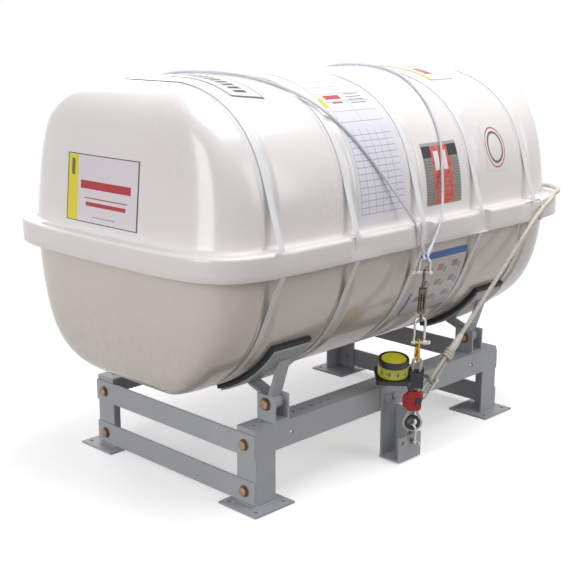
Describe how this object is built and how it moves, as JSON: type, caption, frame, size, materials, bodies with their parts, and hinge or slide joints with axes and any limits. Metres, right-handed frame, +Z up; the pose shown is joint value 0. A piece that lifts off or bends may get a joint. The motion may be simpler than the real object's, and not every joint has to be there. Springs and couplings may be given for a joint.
{
  "type": "life raft container",
  "caption": "Moulded two-part life raft canister lashed on a four-legged deck cradle, with padded saddles, slip hook, turnbuckle, hydrostatic release and painter line.",
  "frame": {"origin": "under the middle of the canister and of its cradle, in the plane of the deck that the four foot plates stand on", "axes": "+X along the canister, to the right when one faces the release gear; -Y towards the side with the release gear; +Z up"},
  "size_m": [1.6478, 1.0441, 1.1842],
  "materials": {
    "shell": "glossy white gel coat on moulded fibreglass",
    "pack": "folded coated fabric",
    "band": "white strapping",
    "cradle_paint": "grey paint on steel",
    "saddle_rubber": "matt black rubber",
    "bolt_metal": "bronze-coloured zinc plate",
    "shackle_steel": "galvanised",
    "dark_steel": "weathered",
    "hook_brass": "yellow passivated",
    "rope": "braided",
    "black_plastic": "moulded",
    "yellow_plastic": "moulded",
    "red_plastic": "moulded",
    "lashing_wire": "clear sleeve over wire"
  },
  "bodies": {
    "container_and_cradle": {"upper_shell": "shell", "lower_shell": "shell", "raft_pack": "pack", "band_1": "band", "band_2": "band", "band_3": "band", "band_4": "band", "band_5": "band", "front_rail": "cradle_paint", "front_left_leg": "cradle_paint", "front_right_leg": "cradle_paint", "back_rail": "cradle_paint", "back_left_leg": "cradle_paint", "back_right_leg": "cradle_paint", "upper_left_crossbar": "cradle_paint", "lower_left_crossbar": "cradle_paint", "upper_right_crossbar": "cradle_paint", "lower_right_crossbar": "cradle_paint", "front_left_clevis": "cradle_paint", "front_left_saddle_frame": "cradle_paint", "front_left_saddle_pad": "saddle_rubber", "front_left_pivot_bolt": "bolt_metal", "front_right_clevis": "cradle_paint", "front_right_saddle_frame": "cradle_paint", "front_right_saddle_pad": "saddle_rubber", "front_right_pivot_bolt": "bolt_metal", "back_left_clevis": "cradle_paint", "back_left_saddle_frame": "cradle_paint", "back_left_saddle_pad": "saddle_rubber", "back_left_pivot_bolt": "bolt_metal", "back_right_clevis": "cradle_paint", "back_right_saddle_frame": "cradle_paint", "back_right_saddle_pad": "saddle_rubber", "back_right_pivot_bolt": "bolt_metal", "hanger_bracket": "cradle_paint", "front_shackle_bow": "shackle_steel", "front_shackle_pin": "shackle_steel", "long_link_bow": "shackle_steel", "long_link_pin": "shackle_steel", "lower_shackle_bow": "shackle_steel", "lower_shackle_pin": "shackle_steel", "painter_shackle_bow": "shackle_steel", "painter_shackle_pin": "shackle_steel", "turnbuckle_upper_screw": "dark_steel", "turnbuckle_lower_screw": "dark_steel", "slip_hook": "hook_brass", "rope_loop": "rope", "release_base": "black_plastic", "release_drum": "yellow_plastic", "weak_link": "red_plastic", "loop_thimble": "black_plastic", "painter_eye": "rope", "painter_port": "black_plastic", "painter_rope": "rope", "lashing_wire_left": "lashing_wire", "lashing_wire_right": "lashing_wire", "back_left_anchor": "cradle_paint", "back_right_anchor": "cradle_paint"},
    "turnbuckle_barrel": {"turnbuckle_barrel": "dark_steel"}
  },
  "joints": [
    {"name": "turnbuckle_turn", "type": "hinge", "parent": "container_and_cradle", "child": "turnbuckle_barrel", "pos_m": [-0.03275, -0.50019, 0.52677], "axis": [-0.0996, -0.1367, 0.9856], "continuous": true}
  ]
}
